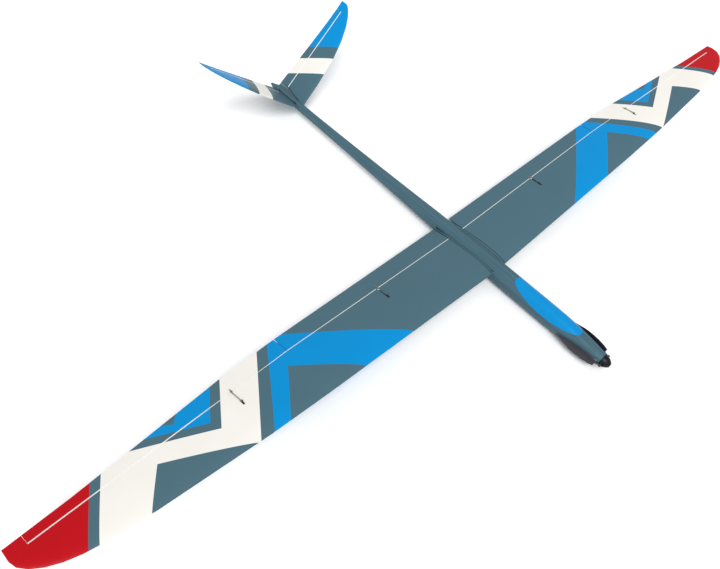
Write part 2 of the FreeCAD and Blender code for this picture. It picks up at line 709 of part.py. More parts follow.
def ovalWire(y, halfWidth, halfHeight):
    """An oval across the fuselage in four curves, each a quarter turn."""
    centre = Vector(0, y, axisZ)
    corners = [Vector(0, 0, halfHeight), Vector(halfWidth, 0, 0), Vector(0, 0, -halfHeight), Vector(-halfWidth, 0, 0)]
    quarters = []
    for start, end in zip(corners, corners[1:] + corners[:1]):
        curve = Part.BezierCurve()
        curve.setPoles([centre + start, centre + start + end * ovalPull, centre + end + start * ovalPull,
                        centre + end])
        quarters.append(curve.toShape())
    return Part.Wire(quarters)


def noseShare(share):
    """The nose swells quickly behind the spinner and eases into the pod."""
    return 1 - (1 - share) ** 2.2


def easeInOut(share):
    return share * share * (3 - 2 * share)


def fuselageStations(wall):
    """The outline as (y, half width, half height), drawn in by the wall's thickness."""
    nose = size("nose_radius")
    frontHeight = podHeight * size("pod_front_share")
    backHeight = podHeight * size("pod_back_share")
    stations = []
    for step in (0, 0.1, 0.22, 0.38, 0.56, 0.78):
        rise = noseShare(step) * (0.55 + 0.45 * step)
        stations.append((between(noseY, podY, step), between(nose, podWidth, noseShare(step)),
                         between(nose, frontHeight, rise)))
    for share in (0, 0.25, 0.5, 0.75, 1):
        end = frontHeight if share < 0.5 else backHeight
        height = between(podHeight, end, (2 * share - 1) ** 2)
        stations.append((between(podY, podEndY, share), podWidth, height))
    for share in (0.2, 0.4, 0.6, 0.8, 1):
        ease = easeInOut(share)
        stations.append((between(podEndY, boomY, share), between(podWidth, boomFront, ease),
                         between(backHeight, boomFront, ease)))
    for share in (0.15, 0.32, 0.5, 0.75, 1):
        radius = between(boomRear, boomFront, (1 - share) ** 1.7)
        stations.append((between(boomY, boomEndY, share), radius, radius))
    return [(y, width - wall, height - wall) for y, width, height in stations]


def fuselageSolid(wall, noseEnd=(), tailEnd=()):
    stations = [*noseEnd, *fuselageStations(wall), *tailEnd]
    return loft([ovalWire(*station) for station in stations], ruled=True)


def outerWidth(y):
    return along([(stationY, width) for stationY, width, _ in fuselageStations(0)], y)


def outerRadius(y):
    """The greatest distance of the skin from the fuselage's axis at a station."""
    return along([(stationY, max(width, height)) for stationY, width, height in fuselageStations(0)], y)


wall = size("shell_wall")
outerPod = fuselageSolid(0, tailEnd=[(tailEndY, size("tail_tip_radius"), size("tail_tip_radius"))])
noseOpening = size("nose_radius") - wall
cavity = fuselageSolid(wall, noseEnd=[(noseY - 2, noseOpening, noseOpening)])

# The belly has a narrow flat in line with the tail's underside, so the model stands level on the two.
restDrops = [(boomRearZ - (axisZ - height)) / (boomEndY - y) for y, _, height in fuselageStations(0)[:-1]]
restSlope = max(restDrops)
restY = fuselageStations(0)[restDrops.index(restSlope)][0]
flatSlope = restSlope - size("belly_flat_depth") / (boomEndY - restY)
belowBelly = Part.makeBox(200, boomEndY - noseY, 60, Vector(-100, noseY - boomEndY, -60))
restPlane = Placement(Vector(0, boomEndY, boomRearZ), Rotation(Vector(1, 0, 0), math.degrees(math.atan(flatSlope))))
belowBelly = moved(belowBelly, restPlane)
outerPod = outerPod.cut(belowBelly)
cavity = cavity.cut(belowBelly.translated(Vector(0, 0, wall)))


wingStub = loft([wingSection(rootX).translated(Vector(-rootX, 0, -wingRise(rootX))), wingSection(rootX)], ruled=True)
wingStubs = [moved(shape, wingPlacement) for shape in sides(wingStub).values()]
tailStubs = [shape for shape in sides(moved(tailStub, tailPlacement)).values()]
fuselage = outerPod.fuse(wingStubs + tailStubs)
fuselage = fuselage.cut(cavity)
fuselage = fuselage.cut(moved(sleeve, wingPlacement))
for shape in sides(moved(locatingPins(size("joiner_fit")), wingPlacement)).values():
    fuselage = fuselage.cut(shape)


# ---------------------------------------------------------------- canopy
def canopyPrism(grow):
    """An upright prism whose plan is a long oval with its widest part near the middle."""
    halfLength = size("canopy_length") / 2 + grow
    middleY = noseY + size("canopy_front_inset") + size("canopy_length") / 2
    points = []
    steps = 24
    for step in range(steps):
        angle = 2 * math.pi * step / steps
        across = math.copysign(abs(math.sin(angle)) ** 0.62, math.sin(angle))
        endwise = math.copysign(abs(math.cos(angle)) ** 0.86, math.cos(angle))
        y = middleY + halfLength * endwise
        localWidth = outerWidth(y) * size("canopy_width_share") + grow
        points.append(Vector(localWidth * across, y, axisZ + 2))
    curve = Part.BSplineCurve()
    curve.interpolate(Points=points, PeriodicFlag=True)
    return Part.Face(Part.Wire([curve.toShape()])).extrude(Vector(0, 0, 80))


canopy = outerPod.cut(cavity).common(canopyPrism(0))
fuselage = fuselage.cut(canopyPrism(size("canopy_gap")))
canopyFrontY = noseY + size("canopy_front_inset")
canopyBackY = canopyFrontY + size("canopy_length")

# The canopy rests on a joggled lip that runs round the opening on the inside of the shell.
lipGap = size("running_gap")
lipRing = canopyPrism(size("canopy_lip_reach")).cut(canopyPrism(-size("canopy_lip_width")))
lip = fuselageSolid(wall - 0.02).cut(fuselageSolid(wall + lipGap + size("canopy_lip_thickness"))).common(lipRing)
lip = lip.cut(canopyPrism(size("canopy_gap")).cut(fuselageSolid(wall + lipGap)))
fuselage = fuselage.fuse(lip)
shapeFeature("fuselage_shell", fuselage)
shapeFeature("canopy", canopy)


def innerHeight(y):
    """Half height of the cavity at a station along the fuselage."""
    table = [(stationY, height) for stationY, _, height in fuselageStations(wall)]
    return along(table, y)


magnets = []
for y in (canopyFrontY + size("magnet_inset"), canopyBackY - size("magnet_inset")):
    top = axisZ + innerHeight(y)
    disc = Part.makeCylinder(size("magnet_radius"), 20, Vector(0, y, top - size("magnet_thickness")))
    magnets.append(disc.common(cavity))
shapeFeature("canopy_magnets", Part.makeCompound([solid for shape in magnets for solid in shape.Solids]))


# ---------------------------------------------------------------- motor
firewallY = noseY + size("bulkhead_inset")
bulkheadThickness = size("bulkhead_thickness")
bulkheadBackY = firewallY + bulkheadThickness


def innerWidth(y):
    return along([(stationY, width) for stationY, width, _ in fuselageStations(wall)], y)


sheet.set("E1", str(innerWidth(firewallY)))
sheet.setAlias("E1", "bulkhead_radius")
doc.recompute()
facingAft = Rotation(Vector(1, 0, 0), -90)

bulkhead = newBody("motor_bulkhead")
disc = newSketch(bulkhead, "XY_Plane")
addCircle(disc, "sizes.bulkhead_radius")
pad(bulkhead, disc, "sizes.bulkhead_thickness")
bores = newSketch(bulkhead, "XY_Plane")
addCircle(bores, "sizes.shaft_radius + 2")
for turn in (-1, 1):
    centre = Vector(turn * size("motor_screw_circle"), 0, 0)
    bores.addGeometry(Part.Circle(centre, Vector(0, 0, 1), size("screw_radius") + size("pin_fit")), False)
throughPocket(bulkhead, bores)
bulkhead.Placement = Placement(Vector(0, firewallY, axisZ), facingAft)

motor = doc.addObject("Part::Cylinder", "motor_can")
motor.setExpression("Radius", "sizes.motor_radius")
motor.setExpression("Height", "sizes.motor_length")
motor.Placement = Placement(Vector(0, bulkheadBackY, axisZ), facingAft)
register(motor, "motor_can")

screws = []
for turn in (-1, 1):
    x = turn * size("motor_screw_circle")
    head = Part.makeCylinder(size("screw_radius") * 1.9, 1.4, Vector(x, firewallY - 1.4, axisZ), Vector(0, 1, 0))
    shank = Part.makeCylinder(size("screw_radius"), bulkheadThickness, Vector(x, firewallY, axisZ), Vector(0, 1, 0))
    screws.append(head.fuse(shank))
shapeFeature("motor_screws", Part.makeCompound(screws))

backplateY = noseY - size("backplate_gap")
backplateFrontY = backplateY - size("backplate_thickness")
shaftFrontY = backplateFrontY - size("yoke_depth") - 1
shaft = Part.makeCylinder(size("shaft_radius"), bulkheadBackY - shaftFrontY - 0.3, Vector(0, shaftFrontY, axisZ),
                          Vector(0, 1, 0))
shapeFeature("motor_shaft", shaft)

backplate = newBody("spinner_backplate")
plateDisc = newSketch(backplate, "XY_Plane")
addCircle(plateDisc, "sizes.backplate_radius")
addCircle(plateDisc, "sizes.shaft_radius")
pad(backplate, plateDisc, "sizes.backplate_thickness")
backplate.Placement = Placement(Vector(0, backplateFrontY, axisZ), facingAft)


# ---------------------------------------------------------------- folding propeller
pinX = size("blade_pin_offset")
pinY = backplateFrontY - size("yoke_depth") / 2
yokeHalf = size("yoke_width") / 2
eyeHalf = yokeHalf - 2.4
bladePin = size("blade_pin_radius")
eyeOuter = bladePin + 2.3
yoke = box(-pinX, pinX, pinY - size("yoke_depth") / 2, pinY + size("yoke_depth") / 2,
           axisZ - yokeHalf, axisZ + yokeHalf)
for turn in (-1, 1):
    yoke = yoke.fuse(Part.makeCylinder(eyeOuter, 2 * yokeHalf,
                                       Vector(turn * pinX, pinY, axisZ - yokeHalf)))
for turn in (-1, 1):
    x0, x1 = sorted((turn * (pinX - eyeOuter - 0.6), turn * (pinX + 20)))
    yoke = yoke.cut(box(x0, x1, pinY - 20, pinY + 20, axisZ - eyeHalf - 0.15, axisZ + eyeHalf + 0.15))
    yoke = yoke.cut(Part.makeCylinder(bladePin, 60, Vector(turn * pinX, pinY, axisZ - 30)))
yoke = yoke.cut(Part.makeCylinder(size("shaft_radius"), 60, Vector(0, pinY - 30, axisZ), Vector(0, 1, 0)))
shapeFeature("prop_yoke", yoke.removeSplitter())

pins = [Part.makeCylinder(bladePin, 2 * yokeHalf, Vector(turn * pinX, pinY, axisZ - yokeHalf)) for turn in (-1, 1)]
shapeFeature("blade_pins", Part.makeCompound(pins))


def bladeMiddle(share):
    """Chord, thickness, twist and centre of a folded blade's section, which lies clear of the nose."""
    y = pinY + share * size("blade_length")
    swell = math.sin(math.pi * min(1.0, 0.16 + 0.80 * share)) ** 0.8
    tipTaper = 1.12 if share < 0.7 else 1.12 - (share - 0.7) * 1.4
    chord = size("blade_chord") * max(0.3, swell) * tipTaper
    thick = size("blade_thickness") * between(1.25, 0.45, share)
    twist = math.radians(between(34, 12, share ** 0.7))
    reach = chord / 2 * math.sin(twist) + thick / 2 * math.cos(twist)
    return chord, thick, twist, Vector(outerRadius(y) + size("blade_stand_off") + reach, y, axisZ)


def bladeSection(share):
    """A section across a folded blade, cambered outward, with two sharp edges."""
    chord, thick, twist, middle = bladeMiddle(share)
    chordwise = Vector(math.sin(twist), 0, math.cos(twist)) * (chord / 2)
    outward = Vector(math.cos(twist), 0, -math.sin(twist)) * thick
    lead, trail = middle + chordwise, middle - chordwise
    crown = middle + outward * 0.8
    hollow = middle - outward * 0.1
    return Part.Wire([Part.Arc(lead, crown, trail).toShape(), Part.Arc(trail, hollow, lead).toShape()])


def neckSection(middle, halfThick):
    corners = ((-halfThick, -eyeHalf), (halfThick, -eyeHalf), (halfThick, eyeHalf), (-halfThick, eyeHalf))
    return closedWire([middle + Vector(dx, 0, dz) for dx, dz in corners])


leftBlade = loft([bladeSection(share) for share in (0.1, 0.2, 0.34, 0.5, 0.66, 0.8, 0.91, 1)], ruled=True)
neck = Part.makeCylinder(eyeOuter, 2 * eyeHalf, Vector(pinX, pinY, axisZ - eyeHalf))
neckEnd = bladeMiddle(0.1)[3] + Vector(0, 6, 0)
neckBar = loft([neckSection(Vector(pinX, pinY + 1.5, axisZ), 2), neckSection(neckEnd, 1.2)], ruled=True)
leftBlade = leftBlade.fuse([neck, neckBar])
leftBlade = leftBlade.cut(Part.makeCylinder(bladePin + size("pin_fit"), 60, Vector(pinX, pinY, axisZ - 30)))
rightBlade = moved(leftBlade, Placement(Vector(0, 0, 0), Rotation(Vector(0, 1, 0), 180), Vector(0, 0, axisZ)))
shapeFeature("prop_blade_left", leftBlade)
shapeFeature("prop_blade_right", rightBlade)


def spinnerOutline(shrink):
    """Half of the cone's section: a full curve from the base to the open tip."""
    base = Vector(size("backplate_radius") - shrink, backplateFrontY, 0)
    tip = Vector(size("spinner_tip_radius") - shrink, backplateFrontY - size("spinner_length"), 0)
    belly = (base + tip) * 0.5 + Vector(2.6, -1.2, 0)
    axisTip, axisBase = Vector(0, tip.y, 0), Vector(0, base.y, 0)
    edges = [Part.Arc(base, belly, tip).toShape(), Part.LineSegment(tip, axisTip).toShape(),
             Part.LineSegment(axisTip, axisBase).toShape(), Part.LineSegment(axisBase, base).toShape()]
    solid = Part.Face(Part.Wire(edges)).revolve(Vector(0, 0, 0), Vector(0, 1, 0), 360)
    return solid.translated(Vector(0, 0, axisZ))


spinner = spinnerOutline(0).cut(spinnerOutline(size("spinner_wall")))
slotHalf = yokeHalf + size("running_gap")
spinner = spinner.cut(box(-60, 60, pinY - eyeOuter - 3, backplateFrontY + 1, axisZ - slotHalf, axisZ + slotHalf))
shapeFeature("spinner_cone", spinner)

spinnerScrew = Part.makeCylinder(2.2, 3, Vector(0, shaftFrontY - 3, axisZ), Vector(0, 1, 0))
shapeFeature("spinner_screw", spinnerScrew)


# ---------------------------------------------------------------- equipment under the canopy
trayTopZ = axisZ - size("tray_drop")
trayFrontY = canopyFrontY + 12
tray = newBody("equipment_tray")
traySketch = newSketch(tray, "XY_Plane")
addRectangle(traySketch, "sizes.tray_width", "sizes.tray_length")
pad(tray, traySketch, "sizes.tray_thickness")
servoHalfSpacing = size("tail_servo_spacing") / 2
trayMiddleY = trayFrontY + size("tray_length") / 2
servoY = trayFrontY + size("battery_length") + 42
holes = newSketch(tray, "XY_Plane")
for turn in (-1, 1):
    cx, cy = turn * servoHalfSpacing, servoY - trayMiddleY
    dx, dy = size("tail_servo_width") / 2 + 0.1, size("tail_servo_length") / 2 + 0.1
    corners = [Vector(cx - dx, cy - dy, 0), Vector(cx + dx, cy - dy, 0), Vector(cx + dx, cy + dy, 0),
               Vector(cx - dx, cy + dy, 0)]
    for index in range(4):
        holes.addGeometry(Part.LineSegment(corners[index], corners[(index + 1) % 4]), False)
throughPocket(tray, holes)
tray.Placement = Placement(Vector(0, trayMiddleY, trayTopZ - size("tray_thickness")), Rotation())

batteryY = trayFrontY + 4 + size("battery_length") / 2
boxBlock("battery", "sizes.battery_length", "sizes.battery_width", "sizes.battery_height",
         Vector(0, batteryY, trayTopZ), "3 mm")
receiverY = servoY + size("tail_servo_length") / 2 + 14 + size("receiver_length") / 2
boxBlock("receiver", "sizes.receiver_length", "sizes.receiver_width", "sizes.receiver_height",
         Vector(0, receiverY, trayTopZ))
controllerY = trayFrontY + 6 + size("controller_length") / 2
controllerZ = trayTopZ - size("tray_thickness") - size("controller_height")
boxBlock("speed_controller", "sizes.controller_length", "sizes.controller_width", "sizes.controller_height",
         Vector(0, controllerY, controllerZ))

servoTopZ = trayTopZ + size("tail_servo_stand")
armZ = servoTopZ + 4.2
armLength = size("tail_arm_length")
outputY = servoY + size("tail_servo_length") / 2 - 6
lug = size("tail_servo_lug")
tailLinkPoints = {}
for name, turn in (("left", 1), ("right", -1)):
    cx = turn * servoHalfSpacing
    halfWidth, halfLength = size("tail_servo_width") / 2, size("tail_servo_length") / 2
    case = box(cx - halfWidth, cx + halfWidth, servoY - halfLength, servoY + halfLength,
               servoTopZ - size("tail_servo_height"), servoTopZ)
    lugs = box(cx - halfWidth, cx + halfWidth, servoY - halfLength - lug, servoY + halfLength + lug,
               trayTopZ, trayTopZ + 1.6)
    boss = Part.makeCylinder(halfWidth - 0.5, 1.8, Vector(cx, outputY, servoTopZ))
    spline = Part.makeCylinder(2, 2.2, Vector(cx, outputY, servoTopZ + 1.8))
    shapeFeature(f"tail_servo_{name}", case.fuse([lugs, boss, spline]).removeSplitter())
    pinX2 = cx - turn * armLength
    arm = Part.makeCylinder(3.4, 2, Vector(cx, outputY, armZ - 0.2))
    x0, x1 = sorted((cx, pinX2))
    arm = arm.fuse(box(x0, x1, outputY - 2, outputY + 2, armZ - 0.2, armZ + 1.8))
    arm = arm.fuse(Part.makeCylinder(2, 2, Vector(pinX2, outputY, armZ - 0.2)))
    arm = arm.fuse(Part.makeCylinder(linkPin, 4.8, Vector(pinX2, outputY, armZ - 4.8)))
    shapeFeature(f"tail_servo_arm_{name}", arm.removeSplitter())
    tailLinkPoints[name] = Vector(pinX2, outputY, armZ - 2.5)


# ---------------------------------------------------------------- tail pushrods
eyeMiddle = (eyeStart + size("plate_thickness") / 2)
drop = tailPinZ * (1 - math.cos(travelAngle))
rodRadius = size("tail_rod_radius")
slack = linkPin + 0.25
eyeBlock = box(eyeStart, eyeStart + size("plate_thickness"), -2.6, 2.6, tailPinZ - drop - slack - 1.6,
               tailPinZ + slack + 1.6)
eyeSlot = box(eyeStart - 1, eyeStart + 5, -slack, slack, tailPinZ - drop - slack, tailPinZ + slack)
tailEye = moved(tailHinge.place(eyeBlock.cut(eyeSlot), tailHornX), tailPlacement)
eyeBack = moved(tailHinge.place(Part.Vertex(Vector(eyeMiddle, -2.3, tailPinZ)), tailHornX), tailPlacement)
rearPoint = eyeBack.BoundBox.Center
frontPoint = tailLinkPoints["left"]
bendPoint = Vector(6, rearPoint.y - 92, axisZ + 5.5)
armDrop = armLength * (1 - math.cos(travelAngle))
frontEye = box(frontPoint.x - slack - 1.2, frontPoint.x + armDrop + slack + 1.5,
               frontPoint.y - slack - 1.6, frontPoint.y + slack + 1.6, frontPoint.z - 1, frontPoint.z + 1)
frontSlot = box(frontPoint.x - slack, frontPoint.x + armDrop + slack, frontPoint.y - slack, frontPoint.y + slack,
                frontPoint.z - 3, frontPoint.z + 3)
frontStart = Vector(frontPoint.x, frontPoint.y + slack + 1.2, frontPoint.z)
wireLean = (rearPoint - bendPoint).normalize()
straightRod = rod(frontStart, bendPoint, rodRadius)
bentWire = rod(bendPoint - wireLean * rodRadius, rearPoint, rodRadius * 0.75)
tailRodShape = straightRod.fuse([frontEye.cut(frontSlot), bentWire, tailEye])
rodClearance = rod(bendPoint - wireLean * 8, rearPoint - wireLean * 4, rodRadius + 1.3)

sleeveShape = sleeve.cut(sleeveHole)
for name, shape in sides(tailRodShape).items():
    shapeFeature(f"tail_pushrod_{name}", shape)
for shape in sides(rodClearance).values():
    fuselage = fuselage.cut(shape)
joinerRods = []
for share in (0.2, 0.6):
    y = tailLead(tailRoot) + share * (tailTrail(tailRoot) - tailLead(tailRoot))
    joinerRods.append(rod(Vector(13, y, 0), Vector(size("tail_joiner_reach"), y, 0), size("tail_joiner_radius")))
rodsSolid = joinerRods[0].fuse(joinerRods[1])
tailPanel = tailPanel.cut(rodsSolid)
tailRods = moved(rodsSolid, tailPlacement)
for shape in sides(tailRods).values():
    fuselage = fuselage.cut(shape)
doc.getObject("fuselage_shell").Shape = fuselage
shapeFeature("tail_joiner_rods", Part.makeCompound(
    [solid for shape in sides(tailRods).values() for solid in shape.Solids]))

shapeFeature("wing_joiner", joiner, wingPlacement)
shapeFeature("joiner_sleeve", sleeveShape, wingPlacement)
pinSolids = [solid for shape in sides(locatingPins(0)).values() for solid in shape.Solids]
shapeFeature("locating_pins", Part.makeCompound(pinSolids), wingPlacement)

for name, shape in leftPieces.items():
    for hand, handed in sides(shape).items():
        shapeFeature(f"{name}_{hand}", handed, wingPlacement)
leftTailPieces = {"tail_panel": tailPanel, "ruddervator": ruddervator, "ruddervator_horn": tailHorn}
for name, shape in leftTailPieces.items():
    for hand, handed in sides(shape).items():
        shapeFeature(f"{name}_{hand}", handed, tailPlacements[hand])


# ---------------------------------------------------------------- checks and output
doc.recompute()
for feature in doc.Objects:
    if "Invalid" in feature.State or "Error" in feature.State:
        raise RuntimeError(f"{feature.Label} failed to recompute: {feature.State}")
for feature in subParts:
    if feature.Shape.isNull() or not feature.Shape.isValid() or feature.Shape.Volume < 0.5:
        raise RuntimeError(f"{feature.Label} has no valid solid")

os.makedirs("parts", exist_ok=True)
for feature in subParts:
    feature.Shape.exportStep(f"parts/{feature.Label}.step")
print(len(subParts), "sub-parts written")
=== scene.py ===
import bpy
import bmesh
import json
import math
from mathutils import Matrix, Vector


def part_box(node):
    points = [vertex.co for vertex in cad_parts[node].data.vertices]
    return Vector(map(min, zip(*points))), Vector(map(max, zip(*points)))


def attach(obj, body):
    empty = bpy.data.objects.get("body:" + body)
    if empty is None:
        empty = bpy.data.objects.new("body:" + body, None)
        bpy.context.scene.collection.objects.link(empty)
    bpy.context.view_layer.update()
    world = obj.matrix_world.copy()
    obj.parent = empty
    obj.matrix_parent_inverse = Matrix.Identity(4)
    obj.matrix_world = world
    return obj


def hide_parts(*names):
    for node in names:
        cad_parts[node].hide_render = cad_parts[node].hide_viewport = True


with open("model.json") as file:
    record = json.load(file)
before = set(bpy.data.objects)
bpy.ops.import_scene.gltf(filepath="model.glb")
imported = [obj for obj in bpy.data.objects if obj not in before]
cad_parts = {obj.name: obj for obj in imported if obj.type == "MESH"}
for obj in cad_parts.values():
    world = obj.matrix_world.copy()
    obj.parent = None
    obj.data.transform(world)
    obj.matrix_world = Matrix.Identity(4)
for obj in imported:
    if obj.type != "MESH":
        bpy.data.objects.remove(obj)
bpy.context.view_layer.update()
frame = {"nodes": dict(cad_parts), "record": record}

mmPerMetre = 1000
nodes = frame["nodes"]
print("frame loaded:", len(nodes), "nodes")


def bodyOf(name):
    for body, members in frame["record"]["behaviour"]["bodies"].items():
        if name in members:
            return body


def hexColour(text, alpha=1.0):
    # sRGB hex to the linear values the shader wants
    values = []
    for start in (0, 2, 4):
        value = int(text[start:start + 2], 16) / 255
        values.append(value / 12.92 if value <= 0.04045 else ((value + 0.055) / 1.055) ** 2.4)
    return (*values, alpha)


def addNode(tree, kind, inputs=None, **settings):
    # one node with its settings; an input may be a value or another node's output
    node = tree.nodes.new(kind)
    for name, value in settings.items():
        setattr(node, name, value)
    for key, value in (inputs or {}).items():
        if isinstance(value, bpy.types.NodeSocket):
            tree.links.new(value, node.inputs[key])
        else:
            node.inputs[key].default_value = value
    return node


def newMaterial(name, **shader):
    material = bpy.data.materials.new(name)
    material.use_nodes = True
    tree = material.node_tree
    surface = tree.nodes["Principled BSDF"]
    for key, value in shader.items():
        surface.inputs[key.replace("_", " ")].default_value = value
    return material, tree, surface


def dress(material, *names):
    for name in names:
        slots = nodes[name].data.materials
        slots.clear()
        slots.append(material)


def bothHands(*names):
    return [f"{name}_{hand}" for name in names for hand in ("left", "right")]


def blendColour(tree, under, over, factor):
    return addNode(tree, "ShaderNodeMix", {"Factor": factor, 6: under, 7: over}, data_type="RGBA").outputs[2]


def objectPlace(tree):
    return addNode(tree, "ShaderNodeTexCoord").outputs["Object"]


# the sprayed colours, one gloss for all of them
paint = {"greyBlue": "4C6C79", "brightBlue": "008ED2", "creamWhite": "F2EFE8", "signalRed": "BE0A18",
         "hingeWhite": "FBFBF8", "gloss": {"Roughness": 0.42, "IOR": 1.45, "Specular_IOR_Level": 0.14,
                                           "Coat_Weight": 0.02, "Coat_Roughness": 0.2}}

# the wing's plan in millimetres: x outboard from the centre, y aft from the wing's datum line
wingPlan = {
    "datum": (-163.5, 40.0), "incidence": 2.862,
    "innerBorder": ((394, -150), (675, 51)),
    "outerBorder": ((870, -150), (730, 47.5)),
    "greyStrip": ((910, -150), (764, 47.5)),
    "tipStrip": ((1306, -127.5), (1225, 2.5)),
    "redTip": ((1327.5, -122.5), (1254, -2.5)),
    "notch": ((732.5, -37), (577.5, -150), (820, -150)),
    "leadTriangle": ((1124, -57.5), (926, -150), (1192.5, -139)),
    "trailTriangle": ((965, -75), (885, 40), (1154, 11)),
    "trailBlue": ((976, -47.5), (917.5, 36), (1115, 16.5)),
    "trailGrey": ((1040, 5), (1020, 26), (1065, 20)),
    "flapHinge": ((33, 17.3), (702, 0.2)), "aileronHinge": ((702, 0.2), (1409, -40.6)),
    # the last tint is painted shade along the root joint's gap
    "hingeWidth": 2.7, "rootSeam": 34.0, "seamShadeTint": "1C2A31",
}


def wingPlace(tree):
    # the point in the wing's own plan, with a one in z so that a border is one dot product
    place = objectPlace(tree)
    across = addNode(tree, "ShaderNodeSeparateXYZ", {0: place}).outputs["X"]
    across = addNode(tree, "ShaderNodeMath", {0: across}, operation="ABSOLUTE").outputs[0]
    across = addNode(tree, "ShaderNodeMath", {0: across, 1: mmPerMetre}, operation="MULTIPLY").outputs[0]
    lean = math.radians(wingPlan["incidence"])
    datumY, datumZ = wingPlan["datum"]
    alongChord = (0, mmPerMetre * math.cos(lean), -mmPerMetre * math.sin(lean))
    aft = addNode(tree, "ShaderNodeVectorMath", {0: place, 1: alongChord},
                  operation="DOT_PRODUCT").outputs["Value"]
    fromDatum = datumZ * math.sin(lean) - datumY * math.cos(lean)
    aft = addNode(tree, "ShaderNodeMath", {0: aft, 1: fromDatum}).outputs[0]
    return addNode(tree, "ShaderNodeCombineXYZ", {"X": across, "Y": aft, "Z": 1.0}).outputs[0]


def borderSum(tree, place, line, inside):
    # distance from a border line, positive on the side that holds the inside point
    (x0, y0), (x1, y1) = line
    row = Vector((y0 - y1, x1 - x0, x0 * y1 - x1 * y0)) / math.hypot(x1 - x0, y1 - y0)
    if row.dot(Vector((*inside, 1))) < 0:
        row = -row
    return addNode(tree, "ShaderNodeVectorMath", {0: place, 1: row}, operation="DOT_PRODUCT").outputs["Value"]


def crispMask(tree, *distances, edge=0.35):
    # one inside every border; the edge is as sharp as masked spray paint's
    least = distances[0]
    for other in distances[1:]:
        least = addNode(tree, "ShaderNodeMath", {0: least, 1: other}, operation="MINIMUM").outputs[0]
    return addNode(tree, "ShaderNodeMath", {0: least, 1: 1 / edge, 2: 0.5}, operation="MULTIPLY_ADD",
                   use_clamp=True).outputs[0]


def wedgeMask(tree, place, corner, first, second):
    middle = tuple((a + b + c) / 3 for a, b, c in zip(corner, first, second))
    return crispMask(tree, borderSum(tree, place, (corner, first), middle),
                     borderSum(tree, place, (corner, second), middle))


film = {"peelScale": 420.0, "peelDepth": 0.00001, "peelStrength": 0.3, "cloudScale": 9.0,
        "palest": 1.04, "darkest": 0.95}


def paintFilm(tree, surface, colour):
    # orange peel of about 2 mm in the film, and a faint unevenness of tone as wide as a hand
    place = objectPlace(tree)
    peel = addNode(tree, "ShaderNodeTexNoise", {"Vector": place, "Scale": film["peelScale"], "Detail": 2.0})
    bump = addNode(tree, "ShaderNodeBump", {"Height": peel.outputs[0], "Distance": film["peelDepth"],
                                            "Strength": film["peelStrength"]})
    cloud = addNode(tree, "ShaderNodeTexNoise", {"Vector": place, "Scale": film["cloudScale"], "Detail": 3.0})
    tone = addNode(tree, "ShaderNodeMapRange", {"Value": cloud.outputs[0], "To Min": film["darkest"],
                                                "To Max": film["palest"]})
    toned = addNode(tree, "ShaderNodeVectorMath", {0: colour, "Scale": tone.outputs[0]}, operation="SCALE")
    tree.links.new(toned.outputs[0], surface.inputs["Base Color"])
    tree.links.new(bump.outputs[0], surface.inputs["Normal"])


def wingStripes(tree, place):
    shade = {name: hexColour(value) for name, value in paint.items() if isinstance(value, str)}
    chevron = crispMask(tree, borderSum(tree, place, wingPlan["innerBorder"], (800, -50)),
                        borderSum(tree, place, wingPlan["outerBorder"], (600, 0)))
    colour = blendColour(tree, shade["greyBlue"], shade["brightBlue"], chevron)
    colour = blendColour(tree, colour, shade["greyBlue"], wedgeMask(tree, place, *wingPlan["notch"]))
    white = crispMask(tree, borderSum(tree, place, wingPlan["greyStrip"], (1100, 0)),
                      borderSum(tree, place, wingPlan["tipStrip"], (1100, 0)))
    colour = blendColour(tree, colour, shade["creamWhite"], white)
    wedges = {"leadTriangle": "greyBlue", "trailTriangle": "greyBlue", "trailBlue": "brightBlue",
              "trailGrey": "greyBlue"}
    for name, tint in wedges.items():
        colour = blendColour(tree, colour, shade[tint], wedgeMask(tree, place, *wingPlan[name]))
    tip = crispMask(tree, borderSum(tree, place, wingPlan["redTip"], (1400, -60)))
    return blendColour(tree, colour, shade["signalRed"], tip)


def hingeStrip(tree, place, colour, plan, hinge):
    # the wiper strip that closes the hinge gap shows as a thin white line
    (x0, y0), _ = plan[hinge]
    ahead = borderSum(tree, place, plan[hinge], (x0, y0 - 50))
    strip = addNode(tree, "ShaderNodeMath", {0: ahead, 1: plan["hingeWidth"]}).outputs[0]
    return blendColour(tree, colour, hexColour(paint["hingeWhite"]), crispMask(tree, strip))


def wingSkin(name, hinge=None):
    # glass-fibre skin with its colours sprayed in the mould: hard-edged stripes under one even, low gloss
    material, tree, surface = newMaterial(name, **paint["gloss"])
    place = wingPlace(tree)
    colour = wingStripes(tree, place)
    if hinge:
        colour = hingeStrip(tree, place, colour, wingPlan, hinge)
    else:
        # painted shade: a dark line 1 mm wide where the panel meets the fuselage, standing in for the shadow
        # in the joint's gap
        across = addNode(tree, "ShaderNodeSeparateXYZ", {0: place}).outputs["X"]
        inner = addNode(tree, "ShaderNodeMath", {0: wingPlan["rootSeam"], 1: across}, operation="SUBTRACT")
        colour = blendColour(tree, colour, hexColour(wingPlan["seamShadeTint"]), crispMask(tree, inner.outputs[0]))
    paintFilm(tree, surface, colour)
    return material


dress(wingSkin("mouldSprayedWingSkin"), *bothHands("wing_panel", "flap_servo_cover", "aileron_servo_cover"))
dress(wingSkin("mouldSprayedFlapSkin", "flapHinge"), *bothHands("flap"))
dress(wingSkin("mouldSprayedAileronSkin", "aileronHinge"), *bothHands("aileron"))
print("wing painted")

# the tail's plan: x along the panel from the centre, y aft
tailPlan = {"angle": 36.65, "base": 31.5, "whiteStart": ((143.8, 601), (67.5, 720)),
            "whiteEnd": ((203.8, 613.8), (133, 723.8)), "blueStart": ((246, 626), (185, 723.8)),
            "hinge": ((24.5, 680), (350, 711.9)), "hingeWidth": 1.3}


